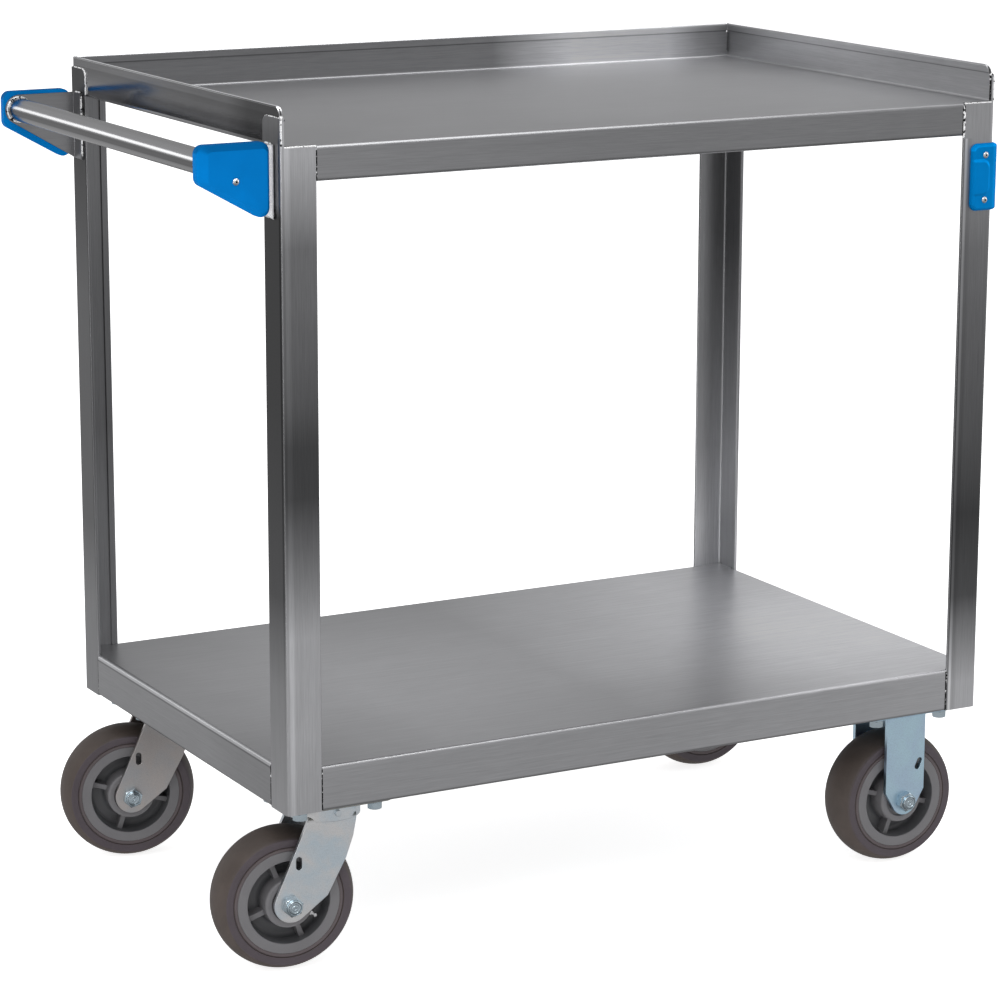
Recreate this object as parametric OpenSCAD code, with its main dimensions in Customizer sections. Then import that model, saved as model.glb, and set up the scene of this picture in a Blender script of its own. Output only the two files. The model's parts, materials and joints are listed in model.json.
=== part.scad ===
// Two-shelf stainless steel utility cart with a push handle, two swivel and two rigid casters.
// Millimetres. +X runs along the cart away from the handle, +Y to the back, +Z up.
// The origin lies under the middle of the outer box, on the floor.

/* [Frame] */
// Length over the uprights
frame_l = 838; // [780:1:960]
// Width over the uprights
frame_w = 533; // [480:1:640]
// Top deck surface above the lower ends of the uprights
top_deck_h = 668.5; // [600:0.5:800]
// Lower deck surface above the lower ends of the uprights
low_deck_h = 46.5; // [44.5:0.5:56]
// Width of each upright flange
flange_w = 39.2; // [36:0.2:44]
// Width of the folded hem along each flange's free edge
flange_hem = 7.5; // [6:0.5:9]
// Thickness of the sheet metal
sheet_t = 2; // [1.8:0.1:2.2]
// Outer radius of the folds in uprights and front edges
fold_r = 4.5; // [4:0.5:5]

/* [Top shelf] */
// Height of the raised lip above the deck
lip_h = 39; // [36:0.5:50]
// Height of the hem folded inwards along the lip
hem_h = 8.5; // [7:0.5:10]
// Inner radius where the deck turns up into the lip
lip_r = 2.5; // [2:0.5:3]
// Height of the front apron below the deck surface
apron_h = 34.5; // [30:0.5:44]
// Radius of the side lips' upper front corners
lip_end_r = 12; // [8:1:14]
// How far the uprights reach up outside the lip
lap_h = 28; // [22:1:30]
// Corner radius on top of the uprights
lap_r = 8; // [4:1:10]

/* [Handle] */
// Outside diameter of the handle tube
tube_d = 25; // [22:0.5:28]
// Wall of the handle tube
tube_wall = 2; // [1.5:0.1:3]
// Tube axis in front of the frame's end
tube_reach = 66; // [60:1:80]
// Tube axis above the lower ends of the uprights
tube_h = 655; // [650:1:658]
// Thickness of the handle bracket plates
bracket_t = 3; // [2.5:0.5:3.5]
// Outer face of the bracket plate behind the frame's front face
bracket_y = 12; // [11:0.5:13]
// Radius of the bracket's round end
bracket_r = 15.5; // [15:0.5:16]

/* [Blue guards] */
// Depth of the cover over the bracket plate
cover_face = 8; // [6:0.5:9]
// Thickness of the corner bumper
bumper_t = 5; // [4:0.5:6]
// Height of the corner bumper
bumper_h = 72; // [64:1:100]
// Lower end of the corner bumper above the lower ends of the uprights
bumper_z = 553; // [300:1:560]

/* [Casters] */
// Lower ends of the uprights above the floor
frame_h = 182.5; // [181:0.5:183]
// Height of a caster from the floor to the top of its plate
caster_h = 184; // [183.5:0.5:184.5]
// Wheel diameter
wheel_d = 150; // [146:1:152]
// Wheel width
wheel_w = 50; // [46:1:50]
// Caster centre from the frame's end
caster_x = 69.5; // [69:0.5:74]
// Caster centre from the frame's front or back
caster_y = 64; // [64:0.5:70]
// Distance from the swivel axis to the axle
swivel_lead = 45; // [40:1:46]
// Turn of the front swivel caster at rest
turn_front = -7; // [-30:1:30]
// Turn of the back swivel caster at rest
turn_back = -13; // [-30:1:30]

/* [Hidden] */
$fn = 96;

// Overall box and the frame's place in it
cover_left = tube_reach + tube_d / 2 + 5;
box_l = cover_left + frame_l + bumper_t + 1;
frame_x0 = cover_left - box_l / 2;
mid_y = frame_w / 2;
frame_y0 = -mid_y;

// Caster parts
plate_t = 6;
plate_l = 114;
plate_w = 102;
bolt_x = 42;
bolt_y = 35;
bolt_r = 4.7;
hub_l = 55;
leg_gap = 57.6;
leg_t = 4.8;
leg_y = leg_gap / 2 + leg_t;
leg_half_w = 25.2;
axle_down = caster_h - wheel_d / 2;
axle_r = 6.3;
bushing_r = 9.5;
bearing_r = 14.5;
crown_r = 38.5;
crown_top = -17.5;
crown_t = 6;
race_r = 28;
ball_r = 4;
ball_z = -15;
kingpin_r = 6.5;
pin_head_r = 10;
pin_head_h = 2;
pin_low = crown_top - crown_t - 9;
running = 0.05;

// Small screws
screw_r = 2;
screw_in = 12;
screw_x = 14;

// Channels that carry the casters
channel_t = 2.5;
channel_l = 118;
channel_top = low_deck_h - sheet_t;
channel_bottom = caster_h - frame_h;

FRAME_PARTS = [
    "top_shelf", "lower_shelf",
    "upright_front_left", "upright_back_left", "upright_front_right", "upright_back_right",
    "top_shelf_stiffener", "caster_channel_left", "caster_channel_right",
    "handle_tube", "handle_bracket_front", "handle_bracket_back",
    "handle_cover_front", "handle_cover_back", "cover_screws",
    "corner_bumper_front", "corner_bumper_back", "bumper_screws",
    "caster_bolts", "caster_washers", "caster_nuts"
];
SWIVEL_PARTS = ["swivel_plate", "swivel_balls", "swivel_fork", "kingpin", "kingpin_nut"];
WHEEL_PARTS = ["axle_bolt", "axle_nut", "axle_bushing", "wheel_bearing", "wheel_core", "wheel_tread"];
SWIVELS = ["front_left", "back_left"];
RIGIDS = ["front_right", "back_right"];
CASTERS = concat(SWIVELS, RIGIDS);

// ---------- placing ----------

// Frame coordinates: x = 0 and y = 0 at the front left upright, z = 0 at its lower end.
module in_frame() {
    translate([frame_x0, frame_y0, frame_h]) children();
}

// The same shape seen from the back of the cart, in frame coordinates
module mirrored_back(back = true) {
    if (back) translate([0, frame_w, 0]) mirror([0, 1, 0]) children();
    else children();
}

// The same shape at the far end of the cart, in frame coordinates
module mirrored_right(right = true) {
    if (right) translate([frame_l, 0, 0]) mirror([1, 0, 0]) children();
    else children();
}

function is_back(place) = place == "back_left" || place == "back_right";
function is_left(place) = place == "front_left" || place == "back_left";
function place_x(place) = frame_x0 + (is_left(place) ? caster_x : frame_l - caster_x);
function place_y(place) = is_back(place) ? mid_y - caster_y : caster_y - mid_y;
function place_turn(place) = place == "front_left" ? turn_front : place == "back_left" ? turn_back : 0;
function place_lead(place) = is_left(place) ? swivel_lead : 0;

// Caster coordinates: the middle of the plate's top face
module at_plate(place) {
    translate([place_x(place), place_y(place), caster_h]) children();
}

// Fork coordinates: as the plate's, turned with the swivel
module at_fork(place) {
    at_plate(place) rotate([0, 0, place_turn(place)]) children();
}

// Wheel coordinates: the middle of the wheel
module at_wheel(place) {
    at_fork(place) translate([-place_lead(place), 0, -axle_down]) children();
}

// ---------- shared shapes ----------

// Extrudes a drawing in the YZ plane along +X
module along_x(length) {
    rotate([90, 0, 90]) linear_extrude(length) children();
}

// Extrudes a drawing in the XZ plane along +Y
module along_y(length) {
    translate([0, length, 0]) rotate([90, 0, 0]) linear_extrude(length) children();
}

// A quarter of a ring around the drawing's origin, from angle start to start + 90
module quarter_ring(inner, outer, start) {
    rotate(start) intersection() {
        difference() {
            circle(outer);
            circle(inner);
        }
        square(outer + 1);
    }
}

// A quarter-round cut for an outer corner at the drawing's origin, with the material in +x, +y
module corner_cut(r) {
    difference() {
        translate([-1, -1]) square(r + 1);
        translate([r, r]) circle(r);
    }
}

// A cylinder along Y, centred on the origin
module rod_y(r, length) {
    rotate([90, 0, 0]) cylinder(r = r, h = length, center = true);
}

// A hexagonal prism along Z from z = 0, with its flats across_flats apart
module hexagon(across_flats, height) {
    cylinder(r = across_flats / sqrt(3), h = height, $fn = 6);
}

// The hex shape with its outer edges taken off by a cone, outer end at z = height
module hex_head(across_flats, height) {
    intersection() {
        hexagon(across_flats, height);
        union() {
            cylinder(r = across_flats * 0.6, h = height - 1);
            translate([0, 0, height - 1])
                cylinder(r1 = across_flats * 0.6, r2 = across_flats * 0.48, h = 1, $fn = 48);
        }
    }
}

// Children at the four bolt places of every caster plate
module at_plate_bolts() {
    for (place = CASTERS) at_plate(place)
        for (x = [-bolt_x, bolt_x], y = [-bolt_y, bolt_y]) translate([x, y, 0]) children();
}

// ---------- sheet metal frame ----------

// Section of the raised lip: x = 0 is the uprights' outer face, y = 0 the deck surface
module lip_section() {
    translate([2 * sheet_t + lip_r, lip_r]) quarter_ring(lip_r, lip_r + sheet_t, 180);
    translate([sheet_t, lip_r]) square([sheet_t, lip_h - lip_r - sheet_t]);
    translate([2 * sheet_t, lip_h - hem_h]) square([sheet_t, hem_h - sheet_t]);
    intersection() {
        translate([2 * sheet_t, lip_h - sheet_t]) circle(sheet_t);
        translate([sheet_t, lip_h - sheet_t]) square([2 * sheet_t, sheet_t]);
    }
}

// Section of a front edge folded down: x = 0 is the outer face, y = 0 the deck surface
module apron_section(height, return_w) {
    foot_r = sheet_t + 1.5;
    translate([fold_r, -fold_r]) quarter_ring(fold_r - sheet_t, fold_r, 90);
    translate([0, foot_r - height]) square([sheet_t, height - fold_r - foot_r]);
    translate([foot_r, foot_r - height]) quarter_ring(foot_r - sheet_t, foot_r, 180);
    translate([foot_r, -height]) square([return_w - foot_r, sheet_t]);
}

// A side lip with its upper front corner rounded
module side_lip() {
    length = frame_w - fold_r - sheet_t;
    difference() {
        translate([0, fold_r, 0]) along_y(length) lip_section();
        along_x(4 * sheet_t) translate([fold_r, lip_h]) mirror([0, 1]) corner_cut(lip_end_r);
    }
}

module top_shelf() {
    side = 2 * sheet_t + lip_r;
    color("silver") in_frame() translate([0, 0, top_deck_h]) difference() {
        union() {
            translate([side, fold_r, -sheet_t])
                cube([frame_l - 2 * side, frame_w - fold_r - side, sheet_t]);
            for (right = [false, true]) mirrored_right(right) {
                side_lip();
                translate([side, sheet_t, -sheet_t])
                    cube([flange_w - side, fold_r - sheet_t, sheet_t]);
            }
            translate([flange_w, 0, 0]) along_x(frame_l - 2 * flange_w)
                apron_section(apron_h, 12);
            mirrored_back() translate([sheet_t, 0, 0])
                along_x(frame_l - 2 * sheet_t) lip_section();
        }
        mirrored_back() for (right = [false, true]) mirrored_right(right) {
            translate([2 * sheet_t, 0, lip_r + 4]) cube([sheet_t + 0.3, side, lip_h]);
            translate([sheet_t, sheet_t, -10]) linear_extrude(lip_h + 20)
                corner_cut(fold_r - sheet_t);
        }
    }
}

// Plan of the lower deck, with notches for the uprights' hems and inner folds
module lower_deck_plan() {
    hem_gap = 0.3;
    difference() {
        union() {
            translate([fold_r, fold_r]) square([frame_l - 2 * fold_r, frame_w - 2 * fold_r]);
            for (x = [sheet_t, frame_l - flange_w], y = [sheet_t, frame_w - flange_w])
                translate([x, y]) square(flange_w - sheet_t);
        }
        for (right = [false, true]) mirrored_right(right)
            for (back = [false, true]) mirrored_back(back) {
                square(fold_r + hem_gap);
                translate([flange_w - flange_hem - hem_gap, 0])
                    square([flange_hem + hem_gap, 2 * sheet_t + hem_gap]);
                translate([0, flange_w - flange_hem - hem_gap])
                    square([2 * sheet_t + hem_gap, flange_hem + hem_gap]);
            }
    }
}

module lower_shelf() {
    return_w = 9;
    color("silver") in_frame() translate([0, 0, low_deck_h]) {
        translate([0, 0, -sheet_t]) linear_extrude(sheet_t) lower_deck_plan();
        for (back = [false, true]) mirrored_back(back)
            translate([flange_w, 0, 0]) along_x(frame_l - 2 * flange_w)
                apron_section(low_deck_h, return_w);
        for (right = [false, true]) mirrored_right(right)
            translate([0, flange_w, 0]) along_y(frame_w - 2 * flange_w)
                apron_section(low_deck_h, return_w);
    }
}

// One flange along +x from the fold; a hemmed flange ends in a closed round fold
module flange_plan(hemmed) {
    if (hemmed) {
        translate([fold_r, 0]) square([flange_w - fold_r - sheet_t, sheet_t]);
        translate([flange_w - flange_hem, sheet_t]) square([flange_hem - sheet_t, sheet_t]);
        intersection() {
            translate([flange_w - sheet_t, sheet_t]) circle(sheet_t);
            translate([flange_w - sheet_t, 0]) square([sheet_t, 2 * sheet_t]);
        }
    } else {
        translate([fold_r, 0]) square([flange_w - fold_r, sheet_t]);
    }
}

module angle_plan(hemmed, front_too) {
    translate([fold_r, fold_r]) quarter_ring(fold_r - sheet_t, fold_r, 180);
    mirror([1, -1]) flange_plan(hemmed);
    if (front_too) flange_plan(hemmed);
}

// A formed angle; above the deck the flanges lap the lip, the front one only at the back of the cart
module upright(laps_front) {
    under = top_deck_h - sheet_t;
    linear_extrude(under) angle_plan(true, true);
    translate([0, 0, under]) linear_extrude(sheet_t) angle_plan(false, true);
    difference() {
        translate([0, 0, top_deck_h]) linear_extrude(lap_h) angle_plan(false, laps_front);
        translate([0, flange_w, top_deck_h + lap_h]) mirror([0, 1, 0]) mirror([0, 0, 1])
            translate([-1, 0, 0]) along_x(sheet_t + 2) corner_cut(lap_r);
        if (laps_front) translate([flange_w, -1, top_deck_h + lap_h]) mirror([1, 0, 0])
            mirror([0, 0, 1]) along_y(sheet_t + 2) corner_cut(lap_r);
    }
}

module upright_front_left() {
    color("silver") in_frame() upright(false);
}

module upright_back_left() {
    color("silver") in_frame() mirrored_back() upright(true);
}

// An upright with the two holes for the bumper's screws
module bumper_upright(laps_front) {
    difference() {
        upright(laps_front);
        for (z = [screw_in, bumper_h - screw_in]) translate([screw_x, 0, bumper_z + z])
            rod_y(screw_r + 0.1, 20);
    }
}

module upright_front_right() {
    color("silver") in_frame() mirrored_right() bumper_upright(false);
}

module upright_back_right() {
    color("silver") in_frame() mirrored_right() mirrored_back() bumper_upright(true);
}

// A hat section lengthwise under the top deck
module top_shelf_stiffener() {
    hat_w = 70;
    foot = 15;
    depth = 20;
    end_gap = 110;
    length = frame_l - 2 * end_gap;
    color("silver") in_frame() translate([end_gap, mid_y, top_deck_h - sheet_t - depth]) along_x(length) {
        translate([-hat_w / 2, 0]) square([hat_w, sheet_t]);
        for (side = [-1, 1]) {
            translate([side * (hat_w / 2 - sheet_t / 2), depth / 2]) square([sheet_t, depth], true);
            translate([side * (hat_w + foot) / 2, depth - sheet_t / 2]) square([foot, sheet_t], true);
        }
    }
}

// An upward channel across the cart that the caster plates bolt under
module caster_channel(right) {
    depth = channel_top - channel_bottom;
    side_gap = 9.5;
    color("silver") in_frame() mirrored_right(right) difference() {
        translate([caster_x - channel_l / 2, side_gap, channel_bottom])
            along_y(frame_w - 2 * side_gap) {
                square([channel_l, channel_t]);
                square([channel_t, depth]);
                translate([channel_l - channel_t, 0]) square([channel_t, depth]);
            }
        for (back = [false, true]) mirrored_back(back)
            for (x = [-bolt_x, bolt_x], y = [-bolt_y, bolt_y])
                translate([caster_x + x, caster_y + y, channel_bottom - 1])
                    cylinder(r = bolt_r + 0.3, h = channel_t + 2);
    }
}

module caster_channel_left() {
    caster_channel(false);
}

module caster_channel_right() {
    caster_channel(true);
}

// ---------- handle ----------

module handle_tube() {
    length = frame_w - 2 * (bracket_y + bracket_t);
    color("lightgray") in_frame() translate([-tube_reach, mid_y, tube_h]) difference() {
        rod_y(tube_d / 2, length);
        rod_y(tube_d / 2 - tube_wall, length + 2);
    }
}

// Where the line from a point below and beside a circle at the origin touches it
function touch_angle(x, z, r) = atan2(z, x) - acos(r / norm([x, z]));

// Side view of the bracket, widening from the tube to the frame's end
module bracket_outline(grow = 0) {
    r = bracket_r + grow;
    right = tube_reach;
    low = -57 - grow;
    touch = touch_angle(right, low, r);
    translate([-tube_reach, tube_h])
        polygon([[0, 0], [0, r], [right, r], [right, low], [r * cos(touch), r * sin(touch)]]);
}

// The bracket's round end around the tube, outer face at bracket_y
module bracket_end(grow, depth) {
    translate([-tube_reach, bracket_y + depth / 2, tube_h]) rod_y(bracket_r + grow, depth);
}

module handle_bracket(back) {
    color("silver") in_frame() mirrored_back(back) difference() {
        union() {
            intersection() {
                translate([0, 0, tube_h - 80]) linear_extrude(120) bracket_plan();
                along_y(20 + bracket_y) bracket_outline();
            }
            bracket_end(0, bracket_t);
        }
        cover_screw_place() rod_y(screw_r + 0.1, 60);
    }
}

// Plan of the bracket: a plate across the tube's end, folded onto the upright's side
module bracket_plan() {
    bend = bracket_t + 0.5;
    tab_w = 20;
    translate([-tube_reach - 20, bracket_y]) square([tube_reach + 20 - bend, bracket_t]);
    translate([-bend, bracket_y + bend]) quarter_ring(bend - bracket_t, bend, 270);
    translate([-bracket_t, bracket_y + bend]) square([bracket_t, tab_w - bend]);
}

module handle_bracket_front() {
    handle_bracket(false);
}

module handle_bracket_back() {
    handle_bracket(true);
}

// Cover outline, moved in by an amount all round
module cover_outline(inset) {
    corner = 9;
    left = inset + corner - cover_left;
    right = -8 - inset - corner;
    top = tube_h + 19.7 - inset - corner;
    low_left = tube_h - 20.4 + inset + corner;
    low_right = tube_h - 52.8 + inset + corner;
    hull() for (point = [[left, top], [right, top], [right, low_right], [left, low_left]])
        translate(point) circle(corner, $fn = 32);
}

module handle_cover(back) {
    bevel = 3.5;
    y_face = bracket_y - cover_face;
    depth = cover_face + bracket_t + 1.5;
    color("dodgerblue") in_frame() mirrored_back(back) difference() {
        hull() {
            translate([0, y_face + bevel, 0]) along_y(depth - bevel) cover_outline(0);
            translate([0, y_face, 0]) along_y(bevel) cover_outline(bevel);
        }
        translate([0, bracket_y, 0]) along_y(depth) bracket_outline(0.3);
        bracket_end(0.3, depth);
        cover_screw_place() rod_y(screw_r + 0.1, 60);
    }
}

module handle_cover_front() {
    handle_cover(false);
}

module handle_cover_back() {
    handle_cover(true);
}

// Where the screw's head rests on the cover's face
module cover_screw_place() {
    translate([-44.5, bracket_y - cover_face, tube_h - 16.5]) children();
}

// A pan-head screw along +Y with its head's underside at the origin
module pan_screw(length) {
    rotate([-90, 0, 0]) {
        cylinder(r = screw_r, h = length);
        difference() {
            intersection() {
                translate([0, 0, -2.2]) cylinder(r = 3.4, h = 2.2);
                translate([0, 0, 2.2]) sphere(r = 4.6);
            }
            translate([0, 0, -3]) cylinder(r = 1.2, h = 1.8);
        }
    }
}

module cover_screws() {
    color("white") in_frame() for (back = [false, true]) mirrored_back(back)
        cover_screw_place() pan_screw(cover_face + bracket_t + 2);
}

// ---------- corner bumpers ----------

bumper_leg = 29.2;

// Plan of the bumper around the fold at its own origin, with the legs along +x and +y
module bumper_plan(thick) {
    difference() {
        union() {
            translate([fold_r, fold_r]) circle(fold_r + thick);
            translate([fold_r, -thick]) square([bumper_leg - fold_r - 3, thick]);
            translate([-thick, fold_r]) square([thick, bumper_leg - fold_r - 3]);
            translate([bumper_leg - 5, 0]) intersection() {
                circle(thick);
                translate([0, -thick]) square(thick);
            }
            translate([0, bumper_leg - 5]) intersection() {
                circle(thick);
                translate([-thick, 0]) square(thick);
            }
        }
        translate([0, fold_r]) square([2 * bumper_leg, 2 * bumper_leg]);
        translate([fold_r, 0]) square([2 * bumper_leg, 2 * bumper_leg]);
        translate([fold_r, fold_r]) circle(fold_r);
    }
}

// Drawing of a bumper's raised panel: x runs from the cart's corner past the leg's end
module panel_drawing() {
    right = bumper_leg + 3;
    low = 17;
    turn_r = 9;
    translate([7 + turn_r, low]) square([right - 7 - turn_r, bumper_h - 2 * low]);
    translate([7, low + turn_r]) square([right - 7, bumper_h - 2 * (low + turn_r)]);
    for (z = [low + turn_r, bumper_h - low - turn_r]) translate([7 + turn_r, z]) circle(turn_r);
}

// The wedge that bevels a bumper's upper edge: x is the depth out from the sheet, y the height
module edge_wedge(thick, bevel) {
    polygon([[thick - bevel, 0], [thick + 1, -bevel - 1], [thick + 1, 1], [thick - bevel, 1]]);
}

module corner_bumper(back) {
    end_r = 8;
    panel = 0.7;
    flat_t = bumper_t + 1 - panel;
    bevel = 2.5;
    color("dodgerblue") in_frame() mirrored_right() mirrored_back(back)
        translate([0, 0, bumper_z]) difference() {
            union() {
                linear_extrude(bumper_h) bumper_plan(flat_t);
                intersection() {
                    linear_extrude(bumper_h) bumper_plan(flat_t + panel);
                    for (side = [0, 1]) mirror([side, -side, 0])
                        translate([0, -20, 0]) along_y(21) panel_drawing();
                }
            }
            for (top = [0, 1]) translate([0, 0, top * bumper_h]) mirror([0, 0, 1 - top]) {
                for (side = [0, 1]) mirror([side, -side, 0]) {
                    translate([fold_r, 0, 0]) mirror([0, 1, 0]) along_x(60) edge_wedge(flat_t, bevel);
                    translate([bumper_leg - 5 + flat_t, -10, 0]) mirror([1, 0, 0]) mirror([0, 0, 1])
                        along_y(20) corner_cut(end_r);
                }
                translate([fold_r, fold_r, 0]) intersection() {
                    rotate_extrude() translate([fold_r, 0]) edge_wedge(flat_t, bevel);
                    translate([-40, -40, -20]) cube(40);
                }
            }
            for (z = [screw_in, bumper_h - screw_in]) translate([screw_x, 0, z])
                rod_y(screw_r + 0.1, 20);
        }
}

module corner_bumper_front() {
    corner_bumper(false);
}

module corner_bumper_back() {
    corner_bumper(true);
}

module bumper_screws() {
    color("white") in_frame() mirrored_right() for (back = [false, true]) mirrored_back(back)
        for (z = [screw_in, bumper_h - screw_in])
            translate([screw_x, -bumper_t - 0.3, bumper_z + z]) pan_screw(bumper_t + sheet_t + 2.3);
}

// ---------- caster fasteners ----------

washer_t = 1.6;
lock_t = 2.2;
nut_h = 7;

module caster_bolts() {
    head_h = 6;
    color("lightsteelblue") at_plate_bolts() {
        translate([0, 0, channel_t]) hex_head(14.3, head_h);
        translate([0, 0, -plate_t - washer_t - lock_t - nut_h + 0.5])
            cylinder(r = bolt_r, h = plate_t + washer_t + lock_t + nut_h + channel_t - 0.5);
    }
}

module caster_washers() {
    color("lightsteelblue") at_plate_bolts() {
        translate([0, 0, -plate_t - washer_t]) ring(10, bolt_r + 0.4, washer_t);
        translate([0, 0, -plate_t - washer_t - lock_t]) ring(8, bolt_r + 0.3, lock_t - 0.1);
    }
}

module caster_nuts() {
    color("lightsteelblue") at_plate_bolts()
        translate([0, 0, -plate_t - washer_t - lock_t - 0.1]) mirror([0, 0, 1]) difference() {
            hex_head(14.3, nut_h);
            translate([0, 0, -1]) cylinder(r = bolt_r + running, h = nut_h + 2);
        }
}

// A flat ring from z = 0 up
module ring(outer, inner, height) {
    difference() {
        cylinder(r = outer, h = height);
        translate([0, 0, -1]) cylinder(r = inner, h = height + 2);
    }
}

// ---------- casters ----------

// The mounting plate with its four bolt holes, from z = -plate_t to 0
module mounting_plate() {
    corner = 10;
    difference() {
        union() {
            for (turned = [0, 1]) translate([0, 0, -plate_t / 2])
                cube([plate_l - 2 * corner * turned, plate_w - 2 * corner * (1 - turned), plate_t], true);
            for (x = [-1, 1], y = [-1, 1])
                translate([x * (plate_l / 2 - corner), y * (plate_w / 2 - corner), -plate_t])
                    cylinder(r = corner, h = plate_t);
        }
        for (x = [-bolt_x, bolt_x], y = [-bolt_y, bolt_y])
            translate([x, y, -plate_t - 1]) cylinder(r = bolt_r + 0.3, h = plate_t + 2);
    }
}

// The ring-shaped groove that the balls run in
module race_groove() {
    translate([0, 0, ball_z]) rotate_extrude() translate([race_r, 0]) circle(ball_r + 0.15);
}

module swivel_plate(place) {
    boss_r = 35;
    boss_z = crown_top + 4.5;
    color("gainsboro") at_plate(place) difference() {
        union() {
            mounting_plate();
            translate([0, 0, boss_z]) cylinder(r = boss_r, h = -plate_t - boss_z);
        }
        race_groove();
        translate([0, 0, boss_z - 1]) cylinder(r = kingpin_r, h = 40);
        translate([0, 0, -pin_head_h]) cylinder(r = pin_head_r, h = 10);
    }
}

module swivel_balls(place) {
    count = 18;
    color("lightgray") at_fork(place) translate([0, 0, ball_z])
        for (turn = [0 : 360 / count : 359]) rotate([0, 0, turn]) translate([race_r, 0, 0])
            sphere(r = ball_r);
}

module kingpin(place) {
    color("silver") at_plate(place) {
        translate([0, 0, -pin_head_h]) cylinder(r = pin_head_r, h = pin_head_h);
        translate([0, 0, pin_low]) cylinder(r = kingpin_r, h = -pin_head_h - pin_low);
    }
}

module kingpin_nut(place) {
    height = 8;
    color("silver") at_plate(place) translate([0, 0, crown_top - crown_t - 0.4 - height]) difference() {
        hexagon(19, height);
        translate([0, 0, -1]) cylinder(r = kingpin_r + running, h = height + 2);
    }
}

// Where the line from a point touches a circle at the origin; side is 1 or -1
function touch_point(x, z, r, side) =
    let (turn = atan2(z, x) + side * acos(r / norm([x, z]))) [r * cos(turn), r * sin(turn)];

// Side view of a swivel leg around the axle, with the swivel axis at x = swivel_lead
module swivel_leg_outline(top) {
    end_r = 18.5;
    left = swivel_lead - leg_half_w;
    right = swivel_lead + leg_half_w + 0.5;
    circle(end_r);
    polygon([
        [left, top], [right, top], [right - 4.5, top - 24], [right - 12.5, top - 47],
        [38.5, 6.5], touch_point(38.5, 6.5, end_r, -1), [0, 0], touch_point(left, top, end_r, 1)
    ]);
}

// Side view of a rigid leg around the axle
module rigid_leg_outline(top) {
    end_r = 16;
    kink = 11.5;
    circle(end_r);
    polygon([
        [-leg_half_w, top], [leg_half_w, top], [leg_half_w, kink],
        touch_point(leg_half_w, kink, end_r, -1), [0, 0],
        touch_point(-leg_half_w, kink, end_r, 1), [-leg_half_w, kink]
    ]);
}

// A slot in both legs: centre seen from the axle and lean from the vertical
module leg_slot(x, z, lean) {
    slot_r = 3.2;
    half = 3.8;
    translate([x, 0, z]) rotate([0, lean, 0]) {
        for (end = [-1, 1]) translate([0, 0, end * half]) rod_y(slot_r, 2 * leg_y + 2);
        cube([2 * slot_r, 2 * leg_y + 2, 2 * half], true);
    }
}

// The folded strap of a fork: a web of thickness web_t under z = top, with a leg on each side
module fork_strap(top, web_t, bottom) {
    bend = leg_t + 2;
    for (side = [false, true]) mirror([0, side ? 1 : 0, 0]) {
        translate([-200, -leg_y + bend, top - bend]) along_x(400)
            quarter_ring(bend - leg_t, bend, 90);
        translate([-200, -leg_y, bottom]) cube([400, leg_t, top - bend - bottom]);
    }
    translate([-200, -leg_y + bend, top - web_t]) cube([400, 2 * (leg_y - bend), web_t]);
}

module swivel_fork(place) {
    strap_top = crown_top - 0.5;
    low = -axle_down - 20;
    color("lightsteelblue") at_fork(place) difference() {
        union() {
            intersection() {
                fork_strap(strap_top, crown_t - 0.5, low);
                translate([-swivel_lead, -leg_y - 1, -axle_down]) along_y(2 * leg_y + 2)
                    swivel_leg_outline(strap_top + axle_down);
            }
            translate([0, 0, crown_top - crown_t]) cylinder(r = crown_r, h = crown_t);
            translate([0, 0, crown_top]) ring(crown_r, crown_r - 2.5, 8);
            translate([3, -crown_r + 1, crown_top + 3]) rotate([90, 0, 0]) hexagon(6, 4);
        }
        race_groove();
        translate([0, 0, crown_top - crown_t - 1]) cylinder(r = kingpin_r + running, h = 20);
        translate([-swivel_lead, 0, -axle_down]) {
            rod_y(axle_r + running, 2 * leg_y + 2);
            leg_slot(8, 43.5, 0);
        }
    }
}

module rigid_fork(place) {
    low = -axle_down - 20;
    color("lightsteelblue") at_plate(place) {
        mounting_plate();
        difference() {
            intersection() {
                fork_strap(-plate_t, 5, low);
                translate([0, -leg_y - 1, -axle_down]) along_y(2 * leg_y + 2)
                    rigid_leg_outline(axle_down - plate_t);
            }
            translate([0, 0, -axle_down]) {
                rod_y(axle_r + running, 2 * leg_y + 2);
                leg_slot(17.3, 40.8, 24);
            }
        }
    }
}

// ---------- wheels ----------

axle_head_h = 7.5;
axle_nut_h = 11;

module axle_bolt(place) {
    color("lightsteelblue") at_wheel(place) {
        translate([0, leg_y, 0]) rotate([-90, 0, 0]) hex_head(19, axle_head_h);
        translate([0, -leg_y - axle_nut_h + 0.6, 0]) rotate([-90, 0, 0])
            cylinder(r = axle_r, h = 2 * leg_y + axle_nut_h - 0.6);
    }
}

module axle_nut(place) {
    color("lightsteelblue") at_wheel(place) translate([0, -leg_y, 0]) rotate([90, 0, 0]) difference() {
        union() {
            hexagon(19, 7);
            cylinder(r = 9.2, h = axle_nut_h);
        }
        translate([0, 0, -1]) cylinder(r = axle_r + running, h = axle_nut_h + 2);
    }
}

module axle_bushing(place) {
    length = leg_gap - 0.2;
    color("gray") at_wheel(place) difference() {
        rod_y(bushing_r, length);
        rod_y(axle_r + running, length + 2);
    }
}

module wheel_bearing(place) {
    length = hub_l - 6;
    count = 10;
    color("darkgray") at_wheel(place) difference() {
        rod_y(bearing_r, length);
        rod_y(bushing_r + running, length + 2);
        for (turn = [0 : 360 / count : 359]) rotate([0, turn + 18, 0]) translate([bearing_r, 0, 0])
            rod_y(1.2, length - 8);
    }
}

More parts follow.
